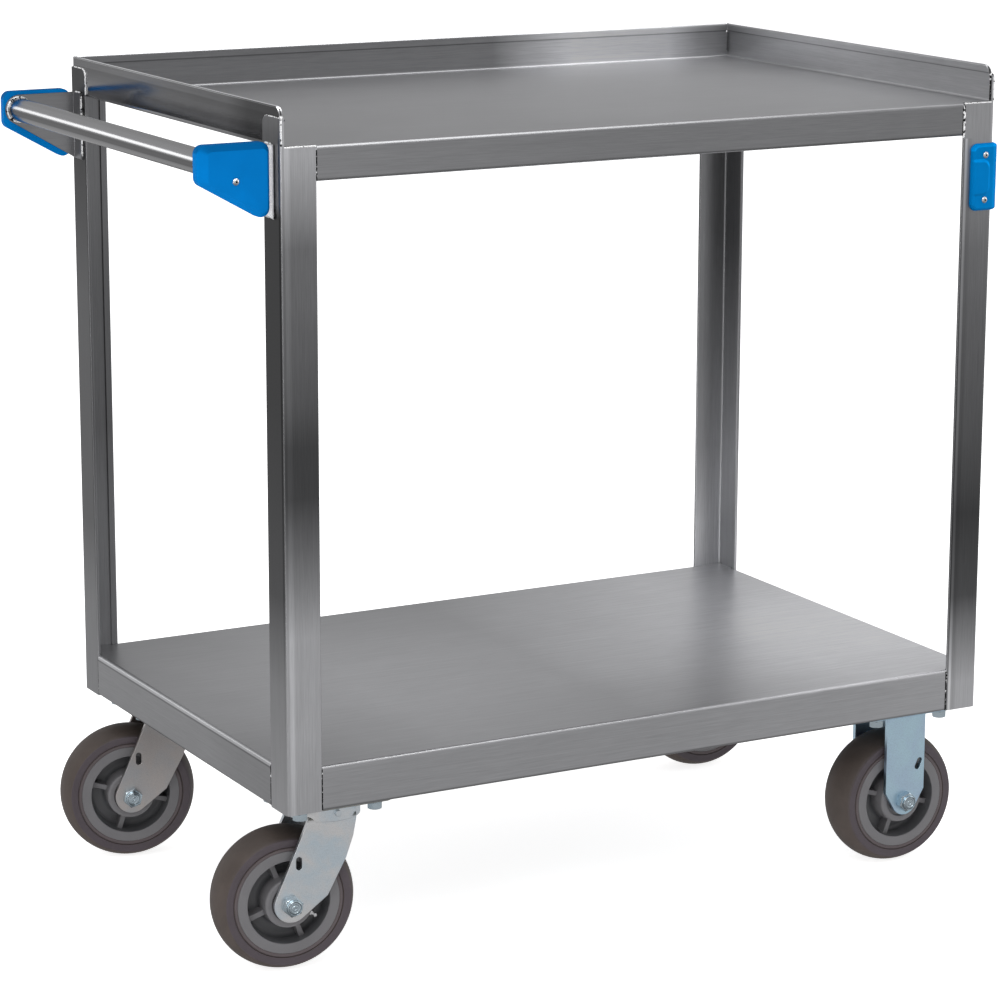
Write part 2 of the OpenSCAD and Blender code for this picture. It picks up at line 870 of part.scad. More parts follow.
// Half section of the wheel core: x is the radius, y runs along the axle from the middle
module core_section() {
    rim_r = 54.5;
    rim_in = 44;
    ring_r = 52;
    hub_r = 26;
    half = wheel_w / 2 - 0.7;
    translate([rim_in, 0]) square([ring_r - rim_in, half]);
    translate([ring_r, 0]) square([rim_r - ring_r, half - 1.2]);
    square([rim_in, 3.5]);
    square([hub_r, hub_l / 2]);
}

module wheel_core(place) {
    rib_t = 6;
    rib_half = 16;
    color("dimgray") at_wheel(place) rotate([90, 0, 0]) difference() {
        union() {
            for (side = [0, 1]) mirror([0, 0, side]) rotate_extrude() core_section();
            for (turn = [0 : 90 : 270]) rotate([0, 0, turn + rib_turn(place)])
                translate([24, -rib_t / 2, -rib_half]) cube([22, rib_t, 2 * rib_half]);
        }
        cylinder(r = bearing_r + 0.02, h = hub_l + 2, center = true);
        for (side = [0, 1]) mirror([0, 0, side]) translate([0, 0, hub_l / 2 - 3])
            cylinder(r = 19, h = 4);
    }
}

// Where each wheel happens to stand in its turn
function rib_turn(place) = place == "front_left" ? 22 : 74;

module wheel_tread(place) {
    half = wheel_w / 2;
    drop = 8.3;
    crown = (half * half + drop * drop) / (2 * drop);
    edge = 2.5;
    shoulder = wheel_d / 2 - drop;
    color("rosybrown") at_wheel(place) rotate([90, 0, 0]) rotate_extrude() difference() {
        intersection() {
            translate([wheel_d / 2 - crown, 0]) circle(crown, $fn = 180);
            union() {
                translate([54.6, -half]) square([shoulder - edge - 54.6, wheel_w]);
                translate([54.6, edge - half]) square([wheel_d / 2 - 54.6, wheel_w - 2 * edge]);
                for (side = [-1, 1]) translate([shoulder - edge, side * (half - edge)]) circle(edge);
            }
        }
    }
}

// ---------- nodes ----------

top_shelf();
lower_shelf();
upright_front_left();
upright_back_left();
upright_front_right();
upright_back_right();
top_shelf_stiffener();
caster_channel_left();
caster_channel_right();
handle_tube();
handle_bracket_front();
handle_bracket_back();
handle_cover_front();
handle_cover_back();
cover_screws();
corner_bumper_front();
corner_bumper_back();
bumper_screws();
caster_bolts();
caster_washers();
caster_nuts();
for (place = SWIVELS) {
    swivel_plate(place);
    swivel_balls(place);
    swivel_fork(place);
    kingpin(place);
    kingpin_nut(place);
}
for (place = RIGIDS) {
    rigid_fork(place);
}
for (place = CASTERS) {
    axle_bolt(place);
    axle_nut(place);
    axle_bushing(place);
    wheel_bearing(place);
    wheel_core(place);
    wheel_tread(place);
}
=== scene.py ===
import json
import math
import random

import bmesh
import bpy
from mathutils import Matrix, Vector

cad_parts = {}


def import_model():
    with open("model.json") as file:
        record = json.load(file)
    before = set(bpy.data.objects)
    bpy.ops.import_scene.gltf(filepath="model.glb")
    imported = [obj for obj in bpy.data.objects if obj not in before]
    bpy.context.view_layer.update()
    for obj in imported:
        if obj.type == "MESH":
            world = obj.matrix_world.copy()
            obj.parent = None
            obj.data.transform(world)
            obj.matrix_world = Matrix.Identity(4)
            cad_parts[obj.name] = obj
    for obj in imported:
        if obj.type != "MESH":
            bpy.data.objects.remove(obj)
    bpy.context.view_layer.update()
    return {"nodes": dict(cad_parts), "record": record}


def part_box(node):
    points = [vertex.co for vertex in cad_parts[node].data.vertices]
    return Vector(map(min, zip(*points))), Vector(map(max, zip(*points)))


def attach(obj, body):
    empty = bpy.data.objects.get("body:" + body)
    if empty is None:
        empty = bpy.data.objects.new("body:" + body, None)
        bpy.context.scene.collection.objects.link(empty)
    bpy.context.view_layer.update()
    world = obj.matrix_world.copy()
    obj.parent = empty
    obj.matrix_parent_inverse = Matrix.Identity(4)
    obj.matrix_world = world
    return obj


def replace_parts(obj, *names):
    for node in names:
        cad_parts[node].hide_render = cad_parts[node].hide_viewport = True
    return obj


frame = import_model()
nodes = frame["nodes"]

MM = 0.001
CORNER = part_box("upright_front_left")[0]
FRAME_L = (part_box("upright_front_right")[1].x - CORNER.x) / MM
FRAME_W = (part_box("upright_back_left")[1].y - CORNER.y) / MM
# The frame's sizes in millimetres: heights are above the uprights' feet
DECK_H = 668.5
LOW_DECK_H = 46.5
APRON_H = 34.5
FLANGE = 39.2
LAP = 28.0
LAP_R = 8.0
LIP_TURN = 27.0
TUBE = (-66.0, 655.0)
TUBE_R = 12.5


def at(x, y, z):
    """A place in the row frame from millimetres along, across and above the front left upright's foot."""
    return CORNER + Vector((x, y, z)) * MM


# ---------- materials ----------


class Shader:
    """A Principled material and short calls for the nodes that feed it."""

    def __init__(self, name, metallic=0.0, roughness=0.5):
        self.material = bpy.data.materials.new(name)
        self.material.use_nodes = True
        self.tree = self.material.node_tree
        self.main = self.tree.nodes["Principled BSDF"]
        self.main.inputs["Metallic"].default_value = metallic
        self.main.inputs["Roughness"].default_value = roughness
        self.place = self.tree.nodes.new("ShaderNodeTexCoord").outputs["Object"]

    def add(self, kind, **settings):
        node = self.tree.nodes.new(kind)
        for key, value in settings.items():
            setattr(node, key, value)
        return node

    def link(self, source, target):
        if hasattr(source, "links"):
            self.tree.links.new(source, target)
        else:
            target.default_value = source

    def math(self, operation, a, b=0.0, c=0.0):
        node = self.add("ShaderNodeMath", operation=operation)
        for i, value in enumerate((a, b, c)):
            self.link(value, node.inputs[i])
        return node.outputs[0]

    def stretched(self, scale, offset=(0, 0, 0)):
        node = self.add("ShaderNodeMapping")
        self.link(self.place, node.inputs["Vector"])
        node.inputs["Scale"].default_value = scale
        node.inputs["Location"].default_value = offset
        return node.outputs[0]

    def noise(self, scale, detail=2.0, roughness=0.5, distortion=0.0, offset=(0, 0, 0)):
        node = self.add("ShaderNodeTexNoise")
        self.link(self.stretched(scale, offset), node.inputs["Vector"])
        node.inputs["Scale"].default_value = 1.0
        node.inputs["Detail"].default_value = detail
        node.inputs["Roughness"].default_value = roughness
        node.inputs["Distortion"].default_value = distortion
        return node.outputs["Fac"]

    def ramp(self, factor, stops):
        """stops: (position, colour or grey level)"""
        node = self.add("ShaderNodeValToRGB")
        self.link(factor, node.inputs["Fac"])
        points = node.color_ramp.elements
        while len(points) < len(stops):
            points.new(0.5)
        for point, (position, colour) in zip(points, stops):
            point.position = position
            point.color = (*colour, 1.0) if isinstance(colour, tuple) else (colour, colour, colour, 1.0)
        return node.outputs["Color"]

    def blend(self, how, factor, a, b):
        node = self.add("ShaderNodeMix", data_type="RGBA", blend_type=how)
        self.link(factor, node.inputs[0])
        for value, socket in ((a, node.inputs[6]), (b, node.inputs[7])):
            self.link((*value, 1.0) if isinstance(value, tuple) else value, socket)
        return node.outputs[2]

    def switch(self, factor, a, b):
        """a where factor is 0, b where it is 1, for plain numbers"""
        node = self.add("ShaderNodeMix", data_type="FLOAT")
        self.link(factor, node.inputs[0])
        self.link(a, node.inputs[2])
        self.link(b, node.inputs[3])
        return node.outputs[0]

    def axis(self, vector, letter):
        node = self.add("ShaderNodeSeparateXYZ")
        self.link(vector, node.inputs[0])
        return node.outputs[letter]

    def normal(self):
        return self.add("ShaderNodeTexCoord").outputs["Normal"]

    def bump(self, height, strength, distance, edge=0.0):
        node = self.add("ShaderNodeBump")
        node.inputs["Strength"].default_value = strength
        node.inputs["Distance"].default_value = distance
        self.link(height, node.inputs["Height"])
        if edge:
            soft = self.add("ShaderNodeBevel", samples=4)
            soft.inputs["Radius"].default_value = edge
            self.link(soft.outputs[0], node.inputs["Normal"])
        self.link(node.outputs[0], self.main.inputs["Normal"])

    def colour(self, source):
        self.link(source, self.main.inputs["Base Color"])

    def rough(self, source):
        self.link(source, self.main.inputs["Roughness"])


def grain(s, along, seed):
    """Brush marks along an axis: short fine lines over broader ones, 0 to 1."""
    fine, broad = [1500.0, 1500.0, 1500.0], [420.0, 420.0, 420.0]
    fine["XYZ".index(along)] = 38.0
    broad["XYZ".index(along)] = 5.0
    return s.switch(0.38, s.noise(fine, 2.0, 0.6, offset=(seed, 0, 0)),
                    s.noise(broad, 2.0, 0.6, offset=(0, seed, 0)))


def facing(s, way):
    """1 on faces that look along way, such as "+Z" or "-X", or either way along "Y"; 0 on the rest."""
    part = s.axis(s.normal(), way[-1])
    if way[0] == "-":
        part = s.math("MULTIPLY", part, -1.0)
    elif len(way) == 1:
        part = s.math("ABSOLUTE", part)
    return s.ramp(part, [(0.55, 0.0), (0.85, 1.0)])


def span(s, letter, low, high):
    """How far a point lies from low to high, in corner millimetres along an axis: 0 to 1."""
    zero = at(0, 0, 0)["XYZ".index(letter)]
    scale = 1.0 / ((high - low) * MM)
    return s.math("MULTIPLY_ADD", s.axis(s.place, letter), scale, -(zero + low * MM) * scale)


def within(s, mask, slab):
    """The mask, kept only inside a slab (letter, low, high)."""
    inside = span(s, *slab)
    inside = s.math("MULTIPLY", s.math("GREATER_THAN", inside, 0.0), s.math("LESS_THAN", inside, 1.0))
    return s.math("MULTIPLY", mask, inside)


def patch(s, tone, way, letter, levels, only=None, sway=None):
    """Paints light and shade: darkens or lightens the faces that look one way, by levels (millimetres,
    factor) along an axis.
    only limits it to a slab, (letter, low, high). sway shifts it a little from place to place."""
    low, high = levels[0][0], levels[-1][0]
    place = span(s, letter, low, high)
    if sway:
        place = s.math("ADD", place, sway)
    factor = s.ramp(place, [((mm - low) / (high - low), level) for mm, level in levels])
    mask = facing(s, way)
    if only:
        mask = within(s, mask, only)
    return s.blend("MULTIPLY", mask, tone, factor)


def brushed(name, along, along_x_faces=None, shade=1.0, painted_light=(), seed=0.0, rough=(0.27, 0.43),
            polish=None, metallic=1.0):
    """Brushed stainless sheet. Faces that look along X may have their grain another way. The patches are
    the painted reflections, highlights and shade on the sheet's faces, as calls of patch. polish is
    (way, slab, factor) for a smoother part."""
    s = Shader(name, metallic=metallic)
    lines = grain(s, along, seed)
    if along_x_faces:
        faces_x = s.math("GREATER_THAN", s.math("ABSOLUTE", s.axis(s.normal(), "X")), 0.7)
        lines = s.switch(faces_x, lines, grain(s, along_x_faces, seed + 3.0))
    cloud = s.noise((5.0, 5.0, 5.0), 3.0, 0.55, offset=(seed, seed, 0))
    low, high = 0.48 * shade, 0.66 * shade
    tone = s.ramp(lines, [(0.25, (low, low * 1.005, low * 1.03)), (0.75, (high, high * 1.005, high * 1.03))])
    tone = s.blend("MULTIPLY", 1.0, tone, s.ramp(cloud, [(0.3, 0.93), (0.7, 1.0)]))
    sway = s.math("MULTIPLY", s.math("SUBTRACT", cloud, 0.5), 0.05)
    for settings in painted_light:
        tone = patch(s, tone, *settings, sway=sway)
    s.colour(tone)
    roughness = s.switch(lines, *rough)
    if polish:
        way, slab, factor = polish
        smoother = s.math("MULTIPLY", roughness, factor)
        roughness = s.switch(within(s, facing(s, way), slab), roughness, smoother)
    s.rough(roughness)
    s.bump(lines, 0.22, 0.00008)
    return s.material


def zinc(name, base, seed, rough=0.26, edge=0.0009, second=None):
    """Bright zinc plate: faint clouds between two tints, pits and light scratches."""
    s = Shader(name, metallic=1.0)
    cloud = s.noise((32.0, 32.0, 32.0), 4.0, 0.55, 0.4, offset=(seed, 0, 0))
    fine = s.noise((1100.0, 1100.0, 1100.0), 2.0, 0.5)
    second = second or tuple(c * 0.84 for c in base)
    tone = s.ramp(cloud, [(0.36, second), (0.6, base)])
    s.colour(s.blend("MULTIPLY", 1.0, tone, s.ramp(fine, [(0.3, 0.88), (0.6, 1.0)])))
    s.rough(s.switch(cloud, rough + 0.12, rough))
    s.bump(fine, 0.12, 0.0001, edge)
    return s.material


def moulded(name, base, rough=0.42, edge=0.0, gloss=0.5, slopes=()):
    """Moulded plastic: fine spark-eroded grain and slight unevenness. slopes are (axis, levels) pairs of
    painted light and shade that lighten or darken faces by how far they lean along an axis, -1 to 1."""
    s = Shader(name, roughness=rough)
    s.main.inputs["Specular IOR Level"].default_value = gloss
    pebbles = s.noise((2200.0, 2200.0, 2200.0), 1.0, 0.4)
    cloud = s.noise((30.0, 30.0, 30.0), 3.0, 0.5)
    tone = s.ramp(cloud, [(0.3, tuple(c * 0.9 for c in base)), (0.7, base)])
    for letter, levels in slopes:
        lean = s.math("MULTIPLY_ADD", s.axis(s.normal(), letter), 0.5, 0.5)
        tone = s.blend("MULTIPLY", 1.0, tone, s.ramp(lean, [((n + 1) / 2, level) for n, level in levels]))
    s.colour(tone)
    s.rough(s.switch(pebbles, rough - 0.06, rough + 0.1))
    s.bump(pebbles, 0.16, 0.0001, edge)
    return s.material


def rubber(name, base, side, seed):
    """Cast wheel tread: matt, a little dusty, with small scuffs. side is the colour of its side walls."""
    s = Shader(name, roughness=0.5)
    s.main.inputs["Specular IOR Level"].default_value = 0.35
    cloud = s.noise((38.0, 38.0, 38.0), 4.0, 0.6, 0.3, offset=(seed, 0, 0))
    scuff = s.noise((160.0, 420.0, 160.0), 3.0, 0.65, 0.8)
    tone = s.ramp(cloud, [(0.28, tuple(c * 0.84 for c in base)), (0.72, tuple(c * 1.1 for c in base))])
    wall = s.ramp(cloud, [(0.28, tuple(c * 0.92 for c in side)), (0.72, tuple(c * 1.06 for c in side))])
    tone = s.blend("MIX", facing(s, "Y"), tone, wall)
    s.colour(s.blend("MIX", s.ramp(scuff, [(0.62, 0.0), (0.76, 0.18)]), tone,
                     tuple(min(1.0, c * 1.7) for c in base)))
    s.rough(s.switch(scuff, 0.42, 0.62))
    s.bump(scuff, 0.1, 0.0003)
    return s.material


def weld_metal(name, dark_part):
    """Cleaned weld bead: bright ripples with dark specks."""
    s = Shader(name, metallic=0.6)
    speck = s.noise((300.0, 300.0, 300.0), 2.0, 0.6)
    s.colour(s.ramp(speck, [(dark_part - 0.03, (0.004, 0.004, 0.004)), (dark_part + 0.02, (0.8, 0.8, 0.81)),
                            (dark_part + 0.1, (1.0, 1.0, 1.0))]))
    s.rough(s.switch(speck, 0.5, 0.25))
    s.bump(speck, 0.35, 0.0003)
    return s.material


def give(material, *names):
    for name in names:
        slots = nodes[name].data.materials
        slots.clear()
        slots.append(material)


# Painted light: reflections of the room, highlights on folds and hems and shade in creases, painted onto the
# brushed steel's colour,
# as patch takes them: the faces' way, an axis, (millimetres, factor) levels along it and the slab they stay
# in.
# Millimetres count from the front left upright's foot.
TOP_PAINTED_LIGHT = [
    ("+Z", "X", [(0, 0.64), (420, 0.76), (838, 0.9)], ("Z", 600, 672)),
    ("+Z", "Y", [(0, 0.86), (100, 0.93), (300, 1.0), (400, 1.03), (533, 1.2)], ("Z", 600, 672)),
    ("+Z", "X", [(0, 1.55), (838, 1.55)], ("Z", 690, 720)),
    ("-Y", "X", [(0, 0.72), (300, 0.62), (420, 0.59), (838, 0.53)], ("Y", -5, 30)),
    ("-Y", "X", [(0, 0.56), (520, 0.56), (630, 1.75), (750, 1.75), (795, 1.0), (838, 0.7)], ("Y", 480, 540)),
    ("-X", "Y", [(0, 0.09), (80, 0.11), (130, 0.28), (330, 0.38), (533, 0.33)], ("X", -5, 20)),
    ("-X", "Z", [(668, 1.75), (678, 1.7), (688, 1.05), (698, 0.78), (699.5, 1.15), (708, 1.1)],
     ("X", -5, 20)),
    ("-X", "Y", [(0, 0.86), (266, 0.86), (533, 0.55)], ("X", 800, 840)),
    ("-X", "Z", [(697.6, 1.0), (698.4, 0.55), (699.2, 0.55), (700, 1.0)], ("X", 800, 840)),
    ("-Y", "Z", [(697.6, 1.0), (698.4, 0.55), (699.2, 0.55), (700, 1.0)], ("Y", 480, 540)),
]
LOW_PAINTED_LIGHT = [
    ("+Z", "X", [(0, 0.76), (200, 1.08), (420, 0.99), (700, 1.75), (838, 1.75)], ("Z", 40, 50)),
    ("+Z", "Y", [(0, 0.86), (150, 1.0), (300, 1.0), (533, 0.72)], ("Z", 40, 50)),
    ("-Y", "X", [(0, 0.87), (420, 0.86), (838, 1.03)], ("Y", -5, 30)),
    ("-X", "Y", [(0, 0.6), (200, 0.74), (533, 0.71)], ("X", -5, 20)),
    ("-X", "Z", [(39.5, 1.0), (40.3, 0.6), (41.3, 0.6), (42.3, 1.7), (46.5, 1.7)], ("X", -5, 20)),
]
FRONT_LEFT_PAINTED_LIGHT = [
    ("Y", "Z", [(0, 1.05), (80, 1.17), (180, 1.12), (225, 0.73), (270, 0.43), (320, 0.185), (370, 0.18),
                (418, 0.3), (515, 0.43), (570, 0.46), (610, 0.8), (660, 1.2)]),
    ("X", "Z", [(0, 0.85), (128, 0.62), (225, 0.18), (321, 0.118), (418, 0.085), (600, 0.08), (612, 0.4),
                (700, 0.42)]),
    ("-Y", "X", [(3.5, 1.0), (5, 1.3), (8, 1.3), (11, 1.0), (40, 1.0)]),
]
FRONT_RIGHT_PAINTED_LIGHT = [
    ("Y", "Z", [(0, 1.2), (30, 1.17), (64, 0.8), (128, 0.23), (225, 0.145), (333, 0.29), (418, 0.35),
                (515, 0.44), (640, 0.82), (700, 0.84)]),
    ("-Y", "X", [(798.8, 0.5), (800.3, 0.6), (801.5, 1.7), (803.5, 1.5), (805, 0.85), (808, 0.85), (811, 1.0),
                 (838, 1.0)], ("Z", -5, 631)),
    ("X", "Z", [(0, 0.8), (225, 0.35), (500, 0.4), (700, 0.6)]),
]
BACK_LEFT_PAINTED_LIGHT = [
    ("X", "Z", [(0, 0.65), (100, 0.58), (200, 0.31), (333, 0.29), (450, 0.3), (600, 0.112), (700, 0.112)]),
    ("Y", "Z", [(0, 0.9), (100, 0.6), (300, 0.3), (450, 0.35), (700, 0.6)]),
]
BACK_RIGHT_PAINTED_LIGHT = [
    ("Y", "Z", [(0, 1.35), (100, 1.3), (200, 0.71), (333, 0.56), (450, 0.61), (600, 0.58), (700, 0.7)]),
    ("X", "Z", [(0, 0.68), (100, 0.63), (200, 1.08), (333, 0.76), (450, 0.34), (600, 0.31), (700, 0.31)]),
]
# Painted highlight on the front handle bracket's front face; painted shade on the back bracket.
FRONT_BRACKET_HIGHLIGHT = [("-Y", "X", [(-90, 1.75), (0, 1.75)])]
BACK_BRACKET_SHADE = [("-Y", "X", [(-90, 0.7), (0, 0.7)]), ("X", "Y", [(0, 0.56), (533, 0.56)])]
# Painted highlight and shade on the tube, by how far its faces lean up: (lean, -1 to 1, factor).
TUBE_PAINTED_LIGHT = [(-1.0, 0.6), (-0.5, 0.75), (-0.37, 0.6), (-0.28, 0.26), (0.08, 0.28), (0.2, 0.55), (0.3, 1.2),
              (0.42, 1.5), (0.5, 0.95), (0.78, 0.78), (1.0, 0.5)]

give(brushed("brushed_top_shelf", "X", "Y", 1.0, TOP_PAINTED_LIGHT, 1.0, polish=("-X", ("X", -5, 20), 0.42)),
     "top_shelf", "top_shelf_stiffener")
give(brushed("brushed_lower_shelf", "X", "Y", 1.0, LOW_PAINTED_LIGHT, 5.0), "lower_shelf")
for node, parts in (("upright_front_left", FRONT_LEFT_PAINTED_LIGHT), ("upright_front_right", FRONT_RIGHT_PAINTED_LIGHT),
                    ("upright_back_left", BACK_LEFT_PAINTED_LIGHT), ("upright_back_right", BACK_RIGHT_PAINTED_LIGHT)):
    give(brushed("brushed_" + node, "Z", painted_light=parts, seed=float(len(node))), node)
give(brushed("brushed_channel", "Y", "Y", 0.8, seed=7.0), "caster_channel_left", "caster_channel_right")
give(brushed("brushed_bracket_front", "X", painted_light=FRONT_BRACKET_HIGHLIGHT, seed=11.0, metallic=0.35),
     "handle_bracket_front")
give(brushed("brushed_bracket_back", "X", painted_light=BACK_BRACKET_SHADE, seed=12.0), "handle_bracket_back")


def tube_steel():
    """Satin tube: brushed along its length, glossier than the sheet, with a painted highlight band above its
    middle and painted shade below it.
    """
    s = Shader("satin_tube", metallic=1.0)
    lines = grain(s, "Y", 9.0)
    tone = s.ramp(lines, [(0.25, (0.5, 0.5, 0.51)), (0.75, (0.58, 0.58, 0.59))])
    up = s.math("MULTIPLY_ADD", s.axis(s.normal(), "Z"), 0.5, 0.5)
    tone = s.blend("MULTIPLY", 1.0, tone, s.ramp(up, [((z + 1) / 2, f) for z, f in TUBE_PAINTED_LIGHT]))
    s.colour(tone)
    s.rough(s.switch(lines, 0.16, 0.26))
    s.bump(lines, 0.15, 0.00006)
    return s.material


give(tube_steel(), "handle_tube")
# Painted light and shade on the blue parts by how far faces lean: the covers' upward, downward and rightward
# faces darker; the guards' upper and rightward edges lighter and their lower faces darker.
BLUE_PAINTED_LIGHT = [("X", [(-1.0, 1.0), (-0.5, 1.06), (-0.15, 0.97), (0.1, 0.84), (0.7, 0.62), (1.0, 0.62)]),
               ("Z", [(-0.8, 0.7), (-0.2, 0.75), (0.0, 0.84), (0.08, 0.82), (0.25, 0.58), (1.0, 0.55)])]
GUARD_PAINTED_LIGHT = [("X", [(-1.0, 0.9), (-0.2, 0.9), (0.05, 0.88), (0.25, 1.15), (1.0, 1.0)]),
                ("Z", [(-1.0, 0.55), (-0.2, 0.7), (0.0, 0.9), (0.12, 1.4), (1.0, 1.3)])]
blue = moulded("blue_plastic", (0.0, 0.186, 0.56), 0.5, 0.0012, 0.02, BLUE_PAINTED_LIGHT)
guard_blue = moulded("blue_guard", (0.0, 0.178, 0.49), 0.5, 0.0, 0.01, GUARD_PAINTED_LIGHT)
give(guard_blue, "corner_bumper_front", "corner_bumper_back")
screw_metal = zinc("screw_steel", (0.9, 0.9, 0.91), 3.0, 0.2, 0.0003)
give(screw_metal, "cover_screws", "bumper_screws")
zinc_nut = zinc("zinc_fastener", (0.6, 0.7, 0.76), 6.0, 0.1, 0.0004)
race_steel = zinc("bearing_steel", (0.3, 0.29, 0.26), 8.0, 0.35)
plate_steel = zinc("zinc_plate", (0.5, 0.49, 0.44), 4.0, 0.3, second=(0.32, 0.33, 0.32))
fork_steel = {
    "front_left": zinc("zinc_fork_front", (0.9, 0.9, 0.9), 1.0, second=(0.76, 0.86, 0.93)),
    # The back swivel fork's zinc is a darker, greyer copy of the front one's: painted shade.
    "back_left": zinc("zinc_fork_back_painted_shade", (0.66, 0.62, 0.6), 2.5, second=(0.6, 0.6, 0.61)),
    "front_right": zinc("zinc_fork_rigid", (0.64, 0.87, 1.0), 3.5, second=(0.62, 0.81, 0.98)),
}
fork_steel["back_right"] = fork_steel["front_right"]
tread = rubber("grey_tread", (0.068, 0.053, 0.046), (0.066, 0.053, 0.061), 2.0)
tread_ring = rubber("tread_ring", (0.082, 0.066, 0.066), (0.086, 0.07, 0.073), 4.0)
core = moulded("dark_core", (0.132, 0.129, 0.135), 0.4, 0.0, 0.5)
# The core's recess between hub and rim is a darker copy of the core: painted shade.
recess_shade = moulded("core_recess_painted_shade", (0.085, 0.086, 0.091), 0.3, 0.0, 0.5)
# Near-black for the screw sockets: painted shade.
socket_shade = moulded("socket_shade", (0.008, 0.008, 0.009), 0.6, 0.0, 0.1)
SWIVELS = ("front_left", "back_left")
RIGIDS = ("front_right", "back_right")
for place in SWIVELS + RIGIDS:
    give(tread, f"wheel_tread_{place}")
    give(core, f"wheel_core_{place}")
    give(race_steel, f"wheel_bearing_{place}", f"axle_bushing_{place}")
    give(zinc_nut, f"axle_bolt_{place}", f"axle_nut_{place}")
for place in SWIVELS:
    give(plate_steel, f"swivel_plate_{place}", f"kingpin_{place}")
    give(fork_steel[place], f"swivel_fork_{place}")
    give(zinc_nut, f"kingpin_nut_{place}")
    give(race_steel, f"swivel_balls_{place}")
for place in RIGIDS:
    give(fork_steel[place], f"rigid_fork_{place}")
give(zinc_nut, "caster_bolts", "caster_nuts", "caster_washers")


# ---------- pieces ----------

rng = random.Random(7)


def piece(name, mesh, body, material):
    """Puts a finished mesh into the scene as a piece that rides on a body."""
    data = bpy.data.meshes.new(name)
    bmesh.ops.recalc_face_normals(mesh, faces=mesh.faces)
    mesh.to_mesh(data)
    mesh.free()
    for face in data.polygons:
        face.use_smooth = True
    data.set_sharp_from_angle(angle=math.radians(40))
    thing = bpy.data.objects.new(name, data)
    bpy.context.scene.collection.objects.link(thing)
    data.materials.append(material)
    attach(thing, body)
    return thing


def along(points, step):
    """Points every step along a line through points, both ends kept."""
    points = [Vector(p) for p in points]
    out, left = [points[0]], step
    for a, b in zip(points, points[1:]):
        run = (b - a).length
        while run > left:
            a = a + (b - a).normalized() * left
            run -= left
            left = step
            out.append(a)
        left -= run
    out.append(points[-1])
    return out


def bead(mesh, points, radius, closed=False):
    """A weld bead through points in frame millimetres: overlapping ripples of uneven height."""
    line = [at(*p) for p in along(points, 0.9)]
    if closed:
        line.pop()
    rings = []
    count = len(line)
    for i, centre in enumerate(line):
        before = line[i - 1] if closed or i else line[0]
        after = line[(i + 1) % count] if closed or i < count - 1 else line[-1]
        forward = (after - before).normalized()
        side = forward.cross(Vector((0.577, 0.577, 0.577)) if abs(forward.z) < 0.9 else Vector((1, 0, 0)))
        side.normalize()
        over = forward.cross(side)
        ripple = 0.84 + 0.16 * abs(math.sin(i * 1.35)) + rng.uniform(-0.07, 0.07)
        end = 1.0 if closed else min(1.0, 0.45 + 0.3 * min(i, count - 1 - i))
        r = radius * MM * ripple * end
        rings.append([mesh.verts.new(centre + (side * math.cos(t) + over * math.sin(t)) * r)
                      for t in (2 * math.pi * k / 8 for k in range(8))])
    pairs = list(zip(rings, rings[1:])) + ([(rings[-1], rings[0])] if closed else [])
    for a, b in pairs:
        for k in range(8):
            mesh.faces.new((a[k], a[(k + 1) % 8], b[(k + 1) % 8], b[k]))
    if not closed:
        mesh.faces.new(rings[0][::-1])
        mesh.faces.new(rings[-1])


def mirror_x(p):
    return (FRAME_L - p[0], p[1], p[2])


def mirror_y(p):
    return (p[0], FRAME_W - p[1], p[2])


def swap_xy(p):
    return (p[1], p[0], p[2])


def arc(centre, radius, start, stop, put, count=10):
    """Points on an arc in a plane: put turns the two coordinates into a place."""
    return [put(centre[0] + radius * math.cos(math.radians(start + (stop - start) * i / count)),
                centre[1] + radius * math.sin(math.radians(start + (stop - start) * i / count)))
            for i in range(count + 1)]


bright_weld = weld_metal("weld_bright", 0.44)
# The dark seam weld stands for the shade in the joints and beside the bright beads: painted shade on real
# weld lines.
seam_shade_weld = weld_metal("weld_painted_shade", 0.62)
ground_weld = weld_metal("weld_ground", 0.33)


def butt(low, high):
    """The line where a front apron meets the front left upright's flange, from one height to another."""
    return ((FLANGE, 0.6, low), (FLANGE, 0.6, high))


mesh = bmesh.new()
